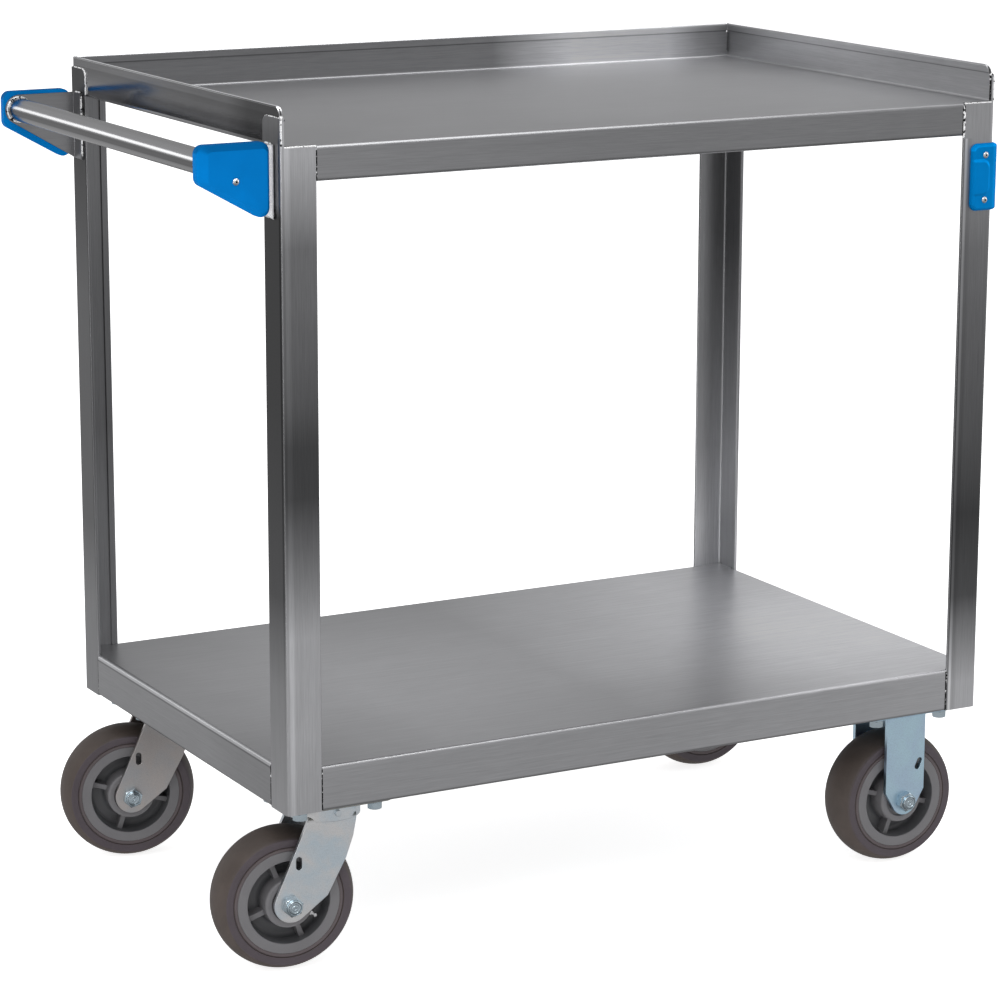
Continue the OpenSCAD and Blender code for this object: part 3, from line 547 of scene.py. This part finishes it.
# Dark beads along the joints and beside the bright beads: weld lines with painted shade.
shaded_seams = bmesh.new()
edges = bmesh.new()
lap_top = DECK_H + LAP
lap_line = [(1.4, 3.0, lap_top)] + arc((FLANGE - LAP_R, lap_top - LAP_R), LAP_R, 90, 0,
                                      lambda y, z: (1.4, y, z)) + [(1.4, FLANGE, DECK_H + 1)]
for right in (False, True):
    flip_x = mirror_x if right else (lambda p: p)
    bead(mesh, [flip_x(p) for p in lap_line], 1.0)
    bead(mesh, [flip_x(p) for p in ((1.8, 1.0, DECK_H + 1), (1.8, 1.0, lap_top - 1))], 1.15)
    bead(shaded_seams, [flip_x(p) for p in ((4.7, 3.0, DECK_H + 1), (4.7, 3.0, lap_top - 1))], 0.95)
    tip = ((1.2, 2.6, lap_top), (3.4, 3.6, lap_top + 1), (4.4, 4.6, lap_top - 2))
    bead(mesh, [flip_x(p) for p in tip], 1.6)
    bead(mesh, [flip_x(mirror_y(p)) for p in lap_line], 1.1)
    bead(mesh, [flip_x(mirror_y(swap_xy(p))) for p in lap_line], 1.0)
    seam = arc((16.5, LIP_TURN), 12.0, 178, 125, lambda y, z: (4.0, y, DECK_H + z))
    bead(shaded_seams, [flip_x(p) for p in seam], 0.6)
    for back in (False, True):
        flip_y = mirror_y if back else (lambda p: p)
        for line in (((FLANGE, 0.6, 1), (FLANGE, 0.6, LOW_DECK_H - 3)),
                     ((0.6, FLANGE, 1), (0.6, FLANGE, LOW_DECK_H - 3))):
            bead(shaded_seams, [flip_x(flip_y(p)) for p in line], 0.75)
    edge = ((3.0, 0.9, DECK_H - 0.4), (FLANGE, 0.9, DECK_H - 0.4))
    bead(edges, [flip_x(p) for p in edge], 1.1)
    bead(shaded_seams, [flip_x((x, y + 2.2, z + 0.4)) for x, y, z in edge], 0.8)
bead(shaded_seams, butt(DECK_H - APRON_H + 1, DECK_H - 4), 0.8)
bead(mesh, ((FLANGE, 0.9, DECK_H - 4), (FLANGE, 2.4, DECK_H - 1.2)), 1.0)
bead(mesh, [mirror_x(p) for p in butt(DECK_H - APRON_H - 2, DECK_H - 2)], 1.7)
bead(shaded_seams, [mirror_x((x + 1.5, y, z)) for x, y, z in butt(DECK_H - APRON_H, DECK_H - 3)], 1.0)
bead(shaded_seams, [mirror_x((x + 1.1, y, z)) for x, y, z in butt(1, LOW_DECK_H - 2)], 1.15)
bead(mesh, [mirror_x((x + 0.2, y - 0.2, z)) for x, y, z in butt(LOW_DECK_H - 9, LOW_DECK_H - 2)], 1.1)
bead(mesh, ((1.4, 1.4, lap_top - 1.5), (2.6, 2.0, lap_top + 0.6), (4.0, 3.0, lap_top + 1.2)), 2.2)
bead(shaded_seams, ((5.0, 2.6, lap_top - 4), (5.4, 3.0, lap_top - 1)), 1.6)
piece("weld_beads", mesh, "frame", bright_weld)
piece("weld_seams", shaded_seams, "frame", seam_shade_weld)
piece("weld_edges", edges, "frame", ground_weld)

mesh = bmesh.new()
for back in (False, True):
    flip_y = mirror_y if back else (lambda p: p)
    loop = arc(TUBE, TUBE_R + 0.5, 0, 360, lambda x, z: (x, 15.9, z), 40)
    bead(mesh, [flip_y(p) for p in loop], 1.5, closed=True)
    bead(mesh, [flip_y(p) for p in ((-1.2, 32.4, 602), (-1.2, 32.4, 668))], 1.1)
    bead(mesh, [flip_y(p) for p in ((-1.4, 17, 670.9), (-1.4, 31, 670.9))], 1.1)
piece("handle_welds", mesh, "frame", bright_weld)


# ---------- wheels and their nuts ----------

JOINTS = {joint["name"]: joint for joint in frame["record"]["behaviour"]["joints"]}


def axle_frame(place):
    """The matrix that puts +Z along a wheel's axle towards the front and X along its fork."""
    joint = JOINTS["roll_" + place]
    back = Vector(joint["axis"])
    turn = Matrix((Vector((back.y, -back.x, 0.0)), Vector((0, 0, 1)), -back)).transposed().to_4x4()
    return Matrix.Translation(Vector(joint["pos_m"])) @ turn


def soften(corners, steps=4):
    """A closed outline with rounded corners: corners are (x, y, radius)."""
    out = []
    count = len(corners)
    for i, (x, y, radius) in enumerate(corners):
        here = Vector((x, y))
        a = Vector(corners[i - 1][:2]) - here
        b = Vector(corners[(i + 1) % count][:2]) - here
        if radius <= 0:
            out.append(tuple(here))
            continue
        half = a.angle(b) / 2
        cut = min(radius / math.tan(half), a.length * 0.49, b.length * 0.49)
        radius = cut * math.tan(half)
        centre = here + (a.normalized() + b.normalized()).normalized() * (radius / math.sin(half))
        first = here + a.normalized() * cut - centre
        last = here + b.normalized() * cut - centre
        swing = first.angle_signed(last)
        for k in range(steps + 1):
            turned_by = Matrix.Rotation(-swing * k / steps, 2)
            out.append(tuple(centre + turned_by @ first))
    return out


def supported(outline, near=0.25):
    """The outline with extra points close to both ends of its longer sides, which keeps flat faces flat."""
    out = []
    for a, b in zip(outline, outline[1:] + outline[:1]):
        a, b = Vector(a), Vector(b)
        run = (b - a).length
        out.append(tuple(a))
        if run > 4 * near:
            out += [tuple(a.lerp(b, near / run)), tuple(b.lerp(a, near / run))]
    return out


def turned(mesh, matrix, profile, count=120, reach=None):
    """A body of revolution about the matrix's Z from a closed outline of (radius, height) in mm.
    reach(angle) may hold every radius in, such as to a hexagon."""
    rings = []
    for radius, height in supported(profile):
        ring = []
        for k in range(count):
            angle = 2 * math.pi * k / count
            r = min(radius, reach(angle)) if reach else radius
            spot = Vector((r * math.cos(angle), r * math.sin(angle), height))
            ring.append(mesh.verts.new(matrix @ (spot * MM)))
        rings.append(ring)
    for a, b in zip(rings, rings[1:] + rings[:1]):
        for k in range(count):
            j = (k + 1) % count
            mesh.faces.new((a[k], a[j], b[j], b[k]))


def both_sides(half):
    """A closed outline symmetric about height 0 from its upper half, listed outwards from the bore."""
    return half + [(r, -z, rounding) for r, z, rounding in reversed(half)]


CORE = both_sides([
    (14.6, 24.5, 0.3), (19.0, 24.5, 0.0), (19.0, 27.4, 0.7), (26.0, 27.4, 2.8), (27.6, 4.4, 4.5),
    (42.2, 3.6, 4.5), (44.0, 24.2, 0.9), (54.0, 24.3, 0.3), (54.5, 23.8, 0.1)])
TREAD = both_sides(
    [(54.55, 23.6, 0.1), (55.0, 23.9, 0.3), (57.6, 24.3, 0.5), (58.3, 22.7, 0.2), (58.8, 22.7, 0.2),
     (59.3, 23.7, 0.5), (66.4, 24.9, 1.4)] +
    [(33.2 + 41.8 * math.cos(math.radians(a)), 41.8 * math.sin(math.radians(a)), 0.0)
     for a in (33, 30, 27, 24, 21, 18, 15, 12, 9, 6, 3, 0.5)])


def rib(mesh, matrix, angle, side):
    """One tapered rib from hub to rim, on one side of the web."""
    turn = matrix @ Matrix.Rotation(angle, 4, "Z")
    loops = []
    for radius, top, swell in ((24.5, 16.6, 0.2), (27.0, 16.4, 0.0), (35.0, 15.6, -0.1), (42.0, 15.0, 0.2),
                               (45.5, 14.8, 0.5)):
        half = [(3.4 + swell, 1.0), (2.8 + swell, top - 0.9), (2.75 + swell, top - 0.3), (2.45 + swell, top)]
        outline = half + [(-w, z) for w, z in reversed(half)]
        loops.append([mesh.verts.new(turn @ (Vector((radius, w, z * side)) * MM)) for w, z in outline])
    for a, b in zip(loops, loops[1:]):
        for k in range(len(a)):
            mesh.faces.new((a[k], a[(k + 1) % len(a)], b[(k + 1) % len(a)], b[k]))
    mesh.faces.new(loops[0])
    mesh.faces.new(loops[-1])


def hex_reach(across):
    return lambda angle: across / 2 / math.cos(angle % (math.pi / 3) - math.pi / 6)


LEG_Y = 33.6
NUT = [(6.4, 0.0), (9.4, 0.0), (11.2, 0.5), (11.2, 6.3), (9.3, 7.3), (8.3, 7.5), (8.1, 9.9), (7.7, 10.8),
       (7.3, 11.0), (6.8, 10.8), (6.4, 10.0)]
END = [(0.3, 10.45), (1.2, 10.45), (1.6, 10.95), (2.6, 10.95), (3.0, 10.55), (4.3, 10.55), (4.7, 11.0),
       (5.6, 10.8), (6.32, 10.45), (6.3, 9.0), (0.3, 9.0)]
FITTING = [(0.3, 0.0), (3.4, 0.0), (3.4, 3.6), (2.5, 4.0), (1.6, 5.2), (1.6, 6.0), (2.7, 6.9), (2.7, 8.3),
           (1.6, 9.5), (0.3, 9.7)]
RIB_TURN = {"front_left": 22.0, "back_left": 74.0, "front_right": 74.0, "back_right": 74.0}
NUT_TURN = 17.0
FITTING_PLACE, FITTING_TURN, FITTING_LEAN = (26.6, 0.0, 18.5), -54.0, 72.0


def repaint(thing, material, wheel, faces, rule):
    """Gives the first faces of a wheel's piece a second material where rule(radius, height) holds, in mm."""
    thing.data.materials.append(material)
    back = wheel.inverted()
    for face in thing.data.polygons[:faces]:
        x, y, z = (back @ face.center) / MM
        if rule(math.hypot(x, y), abs(z)):
            face.material_index = 1


for place in SWIVELS + RIGIDS:
    wheel = axle_frame(place)
    mesh = bmesh.new()
    turned(mesh, wheel, soften(CORE))
    disc_faces = len(mesh.faces)
    for quarter in range(4):
        for side in (1, -1):
            rib(mesh, wheel, math.radians(RIB_TURN[place] + 90 * quarter), side)
    thing = piece(f"wheel_core_detail_{place}", mesh, f"wheel_{place}", core)
    # Faces in the recess take the darker core: painted shade.
    repaint(thing, recess_shade, wheel, disc_faces, lambda r, z: 27.0 < r < 44.0 and z < 22.0)
    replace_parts(thing, f"wheel_core_{place}")
    mesh = bmesh.new()
    turned(mesh, wheel, soften(TREAD), 144)
    tread_faces = len(mesh.faces)
    thing = piece(f"wheel_tread_detail_{place}", mesh, f"wheel_{place}", tread)
    repaint(thing, tread_ring, wheel, tread_faces, lambda r, z: r < 58.0)
    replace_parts(thing, f"wheel_tread_{place}")
    mesh = bmesh.new()
    body = f"swivel_{place}" if place in SWIVELS else "frame"
    nut = wheel @ Matrix.Translation((0, 0, LEG_Y * MM)) @ Matrix.Rotation(math.radians(NUT_TURN), 4, "Z")
    turned(mesh, nut, NUT, 72, hex_reach(19.0))
    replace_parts(piece(f"axle_nut_detail_{place}", mesh, body, zinc_nut), f"axle_nut_{place}")
    mesh = bmesh.new()
    turned(mesh, nut, END, 48)
    piece(f"axle_thread_{place}", mesh, body, zinc_nut)
    mesh = bmesh.new()
    stem = (wheel @ Matrix.Rotation(math.radians(RIB_TURN[place] + FITTING_TURN), 4, "Z")
            @ Matrix.Translation(Vector(FITTING_PLACE) * MM)
            @ Matrix.Rotation(math.radians(FITTING_LEAN), 4, "Y"))
    turned(mesh, stem, FITTING, 24)
    piece(f"grease_fitting_{place}", mesh, f"wheel_{place}", screw_metal)


# ---------- handle covers ----------

COVER_FACE_Y, COVER_BACK_Y, BRACKET_Y = 4.0, 16.5, 12.0
COVER_LEFT, COVER_RIGHT = -83.5, -8.0
COVER_TOP, COVER_LOW_LEFT, COVER_LOW_RIGHT = 19.7, -20.4, -52.8


def bracket_side(grow, right):
    """Side view of the bracket around the tube's end, out to x = right: (along, up)."""
    radius = TUBE_R + 3.0 + grow
    low = TUBE[1] - 57 - grow
    dx, dz = -TUBE[0], low - TUBE[1]
    touch = math.atan2(dz, dx) - math.acos(radius / math.hypot(dx, dz))
    out = [(right, TUBE[1] + radius)]
    for k in range(25):
        angle = math.pi / 2 + (touch + 2 * math.pi - math.pi / 2) * k / 24
        out.append((TUBE[0] + radius * math.cos(angle), TUBE[1] + radius * math.sin(angle)))
    slope = (low - out[-1][1]) / (0.0 - out[-1][0])
    out.append((right, low + slope * right))
    return out


def cover_side(inset):
    """Side view of the cover with its left, top, right and lower sides moved in: (along, up)."""
    left, top, right, low = inset
    x0, x1 = COVER_LEFT + left, COVER_RIGHT - right
    z_top = TUBE[1] + COVER_TOP - top
    fall = (COVER_LOW_RIGHT - COVER_LOW_LEFT) / (COVER_RIGHT - COVER_LEFT - 18.0)
    lift = low * math.hypot(1.0, fall)

    def floor_z(x):
        lean = 9.0 * math.hypot(1.0, fall)
        return TUBE[1] + COVER_LOW_LEFT + 9.0 - lean + fall * (x - COVER_LEFT - 9.0) + lift
    corner = max(9.0 - (left + top) / 4, 4.5)
    turns = [(x1, z_top), (x0, z_top), (x0, floor_z(x0)), (x1, floor_z(x1))]
    return soften([(x, z, corner) for x, z in turns], 9)


def loft(mesh, loops):
    """A closed solid through loops of places with the same number of points."""
    rings = [[mesh.verts.new(at(*p)) for p in loop] for loop in loops]
    for a, b in zip(rings, rings[1:]):
        for k in range(len(a)):
            mesh.faces.new((a[k], a[(k + 1) % len(a)], b[(k + 1) % len(a)], b[k]))
    mesh.faces.new(rings[0])
    mesh.faces.new(rings[-1])


def loose(name, mesh):
    """An object that rides on nothing yet, for the cut."""
    data = bpy.data.meshes.new(name)
    bmesh.ops.recalc_face_normals(mesh, faces=mesh.faces)
    mesh.to_mesh(data)
    mesh.free()
    thing = bpy.data.objects.new(name, data)
    bpy.context.scene.collection.objects.link(thing)
    return thing


def cut_out(solid, cutter):
    """The mesh of solid with the cutter taken away; both are removed from the scene."""
    cut = solid.modifiers.new("cut", "BOOLEAN")
    cut.operation = "DIFFERENCE"
    cut.solver = "EXACT"
    cut.object = cutter
    bpy.context.view_layer.update()
    made = bpy.data.meshes.new_from_object(solid.evaluated_get(bpy.context.evaluated_depsgraph_get()))
    result = bmesh.new()
    result.from_mesh(made)
    for thing in (solid, cutter):
        data = thing.data
        bpy.data.objects.remove(thing)
        bpy.data.meshes.remove(data)
    bpy.data.meshes.remove(made)
    return result


STAGES = [(COVER_BACK_Y, 0.0), (7.7, 0.0), (7.2, 0.03), (6.8, 0.1), (6.6, 0.16), (4.4, 0.9), (4.2, 0.96),
          (4.05, 1.02), (COVER_FACE_Y, 1.1)]
for back in (False, True):
    flip_y = mirror_y if back else (lambda p: p)
    mesh = bmesh.new()
    loft(mesh, [[flip_y((x, y, z)) for x, z in cover_side((10.5 * k, 6.0 * k, 3.2 * k, 5.0 * k))]
                for y, k in STAGES])
    solid = loose("cover_solid", mesh)
    mesh = bmesh.new()
    loft(mesh, [[flip_y((x, y, z)) for x, z in bracket_side(0.3, 3.0)] for y in (BRACKET_Y, 30.0)])
    cutter = loose("cover_cutter", mesh)
    place = "back" if back else "front"
    shell = cut_out(solid, cutter)
    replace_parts(piece(f"handle_cover_detail_{place}", shell, "frame", blue),
                f"handle_cover_{place}")


# ---------- corner bumpers ----------

BUMPER_LEG, BUMPER_H, BUMPER_Z, BUMPER_T = 29.5, 72.0, 553.0, 5.3
BUMPER_R, BUMPER_RISE, BUMPER_PANEL = 8.0, 3.4, 0.7
FOLD_R = 4.5


def inside_of(u, v, centre, half, radius):
    """How far a point lies inside a rounded rectangle, negative outside it."""
    du = abs(u - centre[0]) - half[0] + radius
    dv = abs(v - centre[1]) - half[1] + radius
    return radius - math.hypot(max(du, 0.0), max(dv, 0.0)) - min(max(du, dv), 0.0)


def bumper_skin(u, v):
    """A place on the guarded corner's surface and the bumper's thickness there. u runs along the surface
    from the middle of the fold, v up from the bumper's lower end."""
    turn = FOLD_R * math.pi / 4
    half_u = BUMPER_LEG - FOLD_R + turn
    middle = BUMPER_H / 2
    deep = inside_of(u, v, (0.0, middle), (half_u, middle), BUMPER_R)
    deep = min(max(deep, 0.0) / BUMPER_RISE, 1.0)
    thick = BUMPER_T * math.sqrt(1.0 - (1.0 - deep) ** 2)
    panel = inside_of(abs(u), v, (half_u + 6.0, middle), (half_u + 2.5 - turn, middle - 17.0), 9.0)
    panel = min(max(panel / 1.5, 0.0), 1.0)
    thick += BUMPER_PANEL * panel * panel * (3.0 - 2.0 * panel) * deep
    if abs(u) <= turn:
        angle = u / turn * math.pi / 4 + math.pi * 1.25
        way = Vector((math.cos(angle), math.sin(angle)))
        return Vector((FOLD_R, FOLD_R)) + way * FOLD_R, way, thick
    run = FOLD_R + abs(u) - turn
    if u > 0:
        return Vector((run, 0.0)), Vector((0, -1)), thick
    return Vector((0.0, run)), Vector((-1, 0)), thick


def bumper(mesh, put):
    """A closed bumper: its outer skin and its back against the sheet."""
    columns, rows, reach = 84, 90, 0.96
    half_u = BUMPER_LEG - FOLD_R + FOLD_R * math.pi / 4
    for outer in (True, False):
        grid = []
        for i in range(columns + 1):
            u = half_u * math.sin(math.pi / 2 * (2 * i / columns - 1) * reach) / math.sin(math.pi / 2 * reach)
            from_end = max(BUMPER_R - (half_u - abs(u)), 0.0)
            low = BUMPER_R - math.sqrt(BUMPER_R ** 2 - from_end ** 2)
            line = []
            for j in range(rows + 1):
                v = BUMPER_H / 2 - (BUMPER_H / 2 - low) * math.cos(math.pi * j / rows)
                spot, way, thick = bumper_skin(u, v)
                spot = spot + way * (thick if outer else 0.0)
                line.append(mesh.verts.new(put(spot.x, spot.y, BUMPER_Z + v)))
            grid.append(line)
        for a, b in zip(grid, grid[1:]):
            for k in range(rows):
                mesh.faces.new((a[k], a[k + 1], b[k + 1], b[k]))
    bmesh.ops.remove_doubles(mesh, verts=mesh.verts, dist=0.00002)


for back in (False, True):
    mesh = bmesh.new()
    if back:
        bumper(mesh, lambda x, y, z: at(FRAME_L - x, FRAME_W - y, z))
    else:
        bumper(mesh, lambda x, y, z: at(FRAME_L - x, y, z))
    place = "back" if back else "front"
    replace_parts(piece(f"corner_bumper_detail_{place}", mesh, "frame", guard_blue),
                f"corner_bumper_{place}")


COVER_SCREW_X, COVER_SCREW_DROP = -44.5, 16.5
BUMPER_SCREW_X, BUMPER_SCREW_END = 14.0, 12.0
SOCKET = [(0.1, 1.1), (0.1, 2.19), (1.3, 2.19), (1.7, 2.0), (1.7, 1.1)]


def screw_socket_shade():
    """Near-black discs in the sockets of the covers' and bumpers' screws: painted shade in the sockets."""
    mesh = bmesh.new()
    spots = [(COVER_SCREW_X, COVER_FACE_Y, TUBE[1] - COVER_SCREW_DROP)]
    spots += [(FRAME_L - BUMPER_SCREW_X, -BUMPER_T, BUMPER_Z + up)
              for up in (BUMPER_SCREW_END, BUMPER_H - BUMPER_SCREW_END)]
    for x, y, z in spots:
        for back in (False, True):
            put = at(x, FRAME_W - y if back else y, z)
            matrix = Matrix.Translation(put) @ Matrix.Rotation(math.radians(-90 if back else 90), 4, "X")
            turned(mesh, matrix, SOCKET, 24)
    piece("screw_socket_shade", mesh, "frame", socket_shade)


screw_socket_shade()


# ---------- floor, light and camera ----------


def floor():
    """A wide pale floor."""
    mesh = bmesh.new()
    count, radius = 64, 60.0
    rim = [mesh.verts.new((radius * math.cos(2 * math.pi * i / count),
                           radius * math.sin(2 * math.pi * i / count), 0.0)) for i in range(count)]
    mesh.faces.new(rim)
    data = bpy.data.meshes.new("floor")
    mesh.to_mesh(data)
    mesh.free()
    thing = bpy.data.objects.new("floor", data)
    bpy.context.scene.collection.objects.link(thing)
    s = Shader("pale_floor", roughness=0.9)
    s.main.inputs["Specular IOR Level"].default_value = 0.0
    s.colour(s.ramp(s.noise((3.0, 3.0, 3.0), 2.0), [(0.3, 0.88), (0.7, 0.9)]))
    s.main.inputs["Emission Color"].default_value = (1.0, 1.0, 1.0, 1.0)
    s.main.inputs["Emission Strength"].default_value = 0.8
    data.materials.append(s.material)
    thing.visible_glossy = False


def area_light(name, place, aim, size, power):
    """A soft rectangular lamp that looks at a point."""
    data = bpy.data.lights.new(name, "AREA")
    data.shape = "RECTANGLE"
    data.size, data.size_y = size
    data.energy = power
    thing = bpy.data.objects.new(name, data)
    thing.location = place
    thing.rotation_euler = (Vector(aim) - Vector(place)).to_track_quat("-Z", "Y").to_euler()
    bpy.context.scene.collection.objects.link(thing)


def world():
    """A soft room: grey levels by height, from straight down to straight up."""
    made = bpy.data.worlds.new("soft_room")
    bpy.context.scene.world = made
    made.use_nodes = True
    tree = made.node_tree
    back = tree.nodes["Background"]
    place = tree.nodes.new("ShaderNodeTexCoord").outputs["Generated"]
    split = tree.nodes.new("ShaderNodeSeparateXYZ")
    tree.links.new(place, split.inputs[0])
    ramp = tree.nodes.new("ShaderNodeValToRGB")
    scale = tree.nodes.new("ShaderNodeMath")
    scale.operation = "MULTIPLY_ADD"
    scale.inputs[1].default_value = 0.5
    scale.inputs[2].default_value = 0.5
    tree.links.new(split.outputs["Z"], scale.inputs[0])
    tree.links.new(scale.outputs[0], ramp.inputs["Fac"])
    stops = [(0.0, 0.14), (0.28, 0.42), (0.4, 0.56), (0.5, 0.5), (0.6, 0.42), (0.75, 0.5), (1.0, 0.85)]
    points = ramp.color_ramp.elements
    while len(points) < len(stops):
        points.new(0.5)
    for point, (position, level) in zip(points, stops):
        point.position = position
        point.color = (level, level, level * 1.01, 1.0)
    tree.links.new(ramp.outputs["Color"], back.inputs["Color"])
    back.inputs["Strength"].default_value = 1.0


floor()
world()
area_light("key_light", (-1.6, -2.2, 3.2), (0.0, 0.0, 0.5), (2.2, 2.2), 42.0)
area_light("top_light", (0.9, 0.0, 3.4), (0.0, 0.0, 0.5), (2.6, 1.2), 26.0)
area_light("tube_light", (-2.2, 3.0, 1.4), (-0.4, 0.0, 0.8), (1.6, 0.7), 4.0)
area_light("fill_light", (3.2, -1.4, 1.6), (0.0, 0.0, 0.5), (1.8, 1.8), 14.0)
area_light("edge_light", (-3.6, -2.0, 1.0), (0.0, 0.0, 0.4), (0.5, 2.6), 16.0)


# The camera: lens and place in millimetres, angles in degrees
LENS = 128.3544
CAMERA_PLACE = (-1433.0, -3078.8, 1106.2)
AZIMUTH, ELEVATION, ROLL = 28.52, 12.984, 0.139


def camera():
    """The view from the front left, a little above the top deck."""
    data = bpy.data.cameras.new("camera")
    data.lens = LENS
    data.sensor_width = 36
    thing = bpy.data.objects.new("camera", data)
    azimuth, elevation, roll = (math.radians(a) for a in (AZIMUTH, ELEVATION, ROLL))
    forward = Vector((math.sin(azimuth) * math.cos(elevation), math.cos(azimuth) * math.cos(elevation),
                      -math.sin(elevation)))
    right = Vector((math.cos(azimuth), -math.sin(azimuth), 0.0))
    up = right.cross(forward)
    right, up = (right * math.cos(roll) + up * math.sin(roll),
                 up * math.cos(roll) - right * math.sin(roll))
    turn = Matrix((right, up, -forward)).transposed().to_4x4()
    thing.matrix_world = Matrix.Translation(at(*CAMERA_PLACE)) @ turn
    data.clip_start, data.clip_end = 0.1, 200.0
    bpy.context.scene.collection.objects.link(thing)
    bpy.context.scene.camera = thing


camera()
bpy.context.scene.view_settings.view_transform = "Standard"
